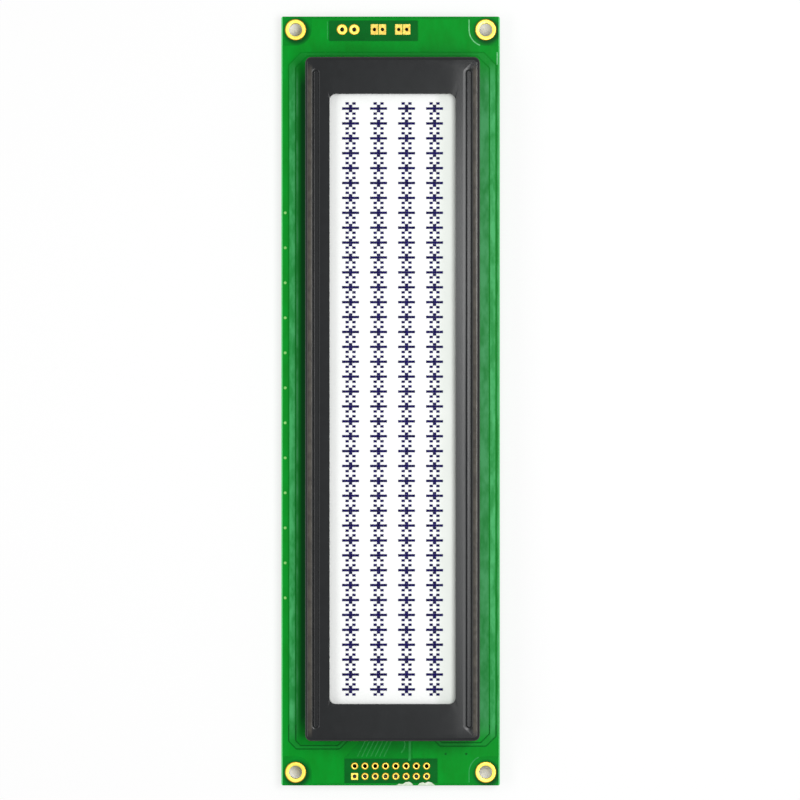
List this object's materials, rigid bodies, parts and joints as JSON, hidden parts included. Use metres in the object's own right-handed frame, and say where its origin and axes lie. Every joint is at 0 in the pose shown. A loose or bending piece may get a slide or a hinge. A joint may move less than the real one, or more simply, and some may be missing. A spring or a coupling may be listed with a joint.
{
  "type": "character lcd module",
  "caption": "Character display module: dot-matrix glass cell in a black steel bezel on a green circuit board with edge lighting, a two-row header and corner mounting holes.",
  "frame": {"origin": "centre of the circuit board in X and Y, at the lowest point of the bezel's tabs behind it", "axes": "+X along the lines of text, away from the two-row header; +Y towards the top line; +Z to the viewer"},
  "size_m": [0.19, 0.054, 0.013],
  "materials": {
    "board_mask": "satin green solder mask over copper",
    "gold_plating": "immersion gold over nickel",
    "bezel_paint": "semi-gloss black baked paint on steel",
    "polariser_film": "clear, very light matt",
    "cell_glass": "polished flat glass",
    "cell_glue": "cured epoxy",
    "liquid_crystal": "dark blue dot matrix",
    "white_film": "smooth white film",
    "conductive_rubber": "silicone with fine carbon layers",
    "frame_plastic": "white moulded plastic",
    "guide_acrylic": "clear moulded acrylic",
    "led_board_mask": "white solder mask",
    "led_body": "white body with a pale yellow face",
    "pin_tin": "tinned brass",
    "solder": "bright solder",
    "epoxy_black": "black potting epoxy",
    "chip_resistor_body": "black overglaze on alumina",
    "chip_capacitor_body": "tan ceramic"
  },
  "bodies": {
    "root": {"pcb": "board_mask", "header_pads": "gold_plating", "mounting_hole_ring_1": "gold_plating", "mounting_hole_ring_2": "gold_plating", "mounting_hole_ring_3": "gold_plating", "mounting_hole_ring_4": "gold_plating", "backlight_pad_1": "gold_plating", "backlight_pad_2": "gold_plating", "jumper_pad_1": "gold_plating", "jumper_pad_2": "gold_plating", "jumper_pad_3": "gold_plating", "jumper_pad_4": "gold_plating", "bezel": "bezel_paint", "front_polariser": "polariser_film", "front_glass": "cell_glass", "cell_seal": "cell_glue", "end_seal": "cell_glue", "character_line_1": "liquid_crystal", "character_line_2": "liquid_crystal", "character_line_3": "liquid_crystal", "character_line_4": "liquid_crystal", "rear_glass": "cell_glass", "rear_polariser": "white_film", "zebra_strip_1": "conductive_rubber", "zebra_strip_2": "conductive_rubber", "backlight_frame": "frame_plastic", "diffuser_sheet": "white_film", "light_guide": "guide_acrylic", "reflector_sheet": "white_film", "led_board_1": "led_board_mask", "led_board_2": "led_board_mask", "led_1": "led_body", "led_2": "led_body", "led_3": "led_body", "led_4": "led_body", "led_5": "led_body", "led_6": "led_body", "led_7": "led_body", "led_8": "led_body", "backlight_pin_1": "pin_tin", "backlight_pin_2": "pin_tin", "backlight_pin_3": "pin_tin", "backlight_pin_4": "pin_tin", "solder_joints": "solder", "glob_top_1": "epoxy_black", "glob_top_2": "epoxy_black", "glob_top_3": "epoxy_black", "glob_top_4": "epoxy_black", "glob_top_5": "epoxy_black", "glob_top_6": "epoxy_black", "chip_resistors": "chip_resistor_body", "chip_capacitors": "chip_capacitor_body"}
  },
  "joints": []
}
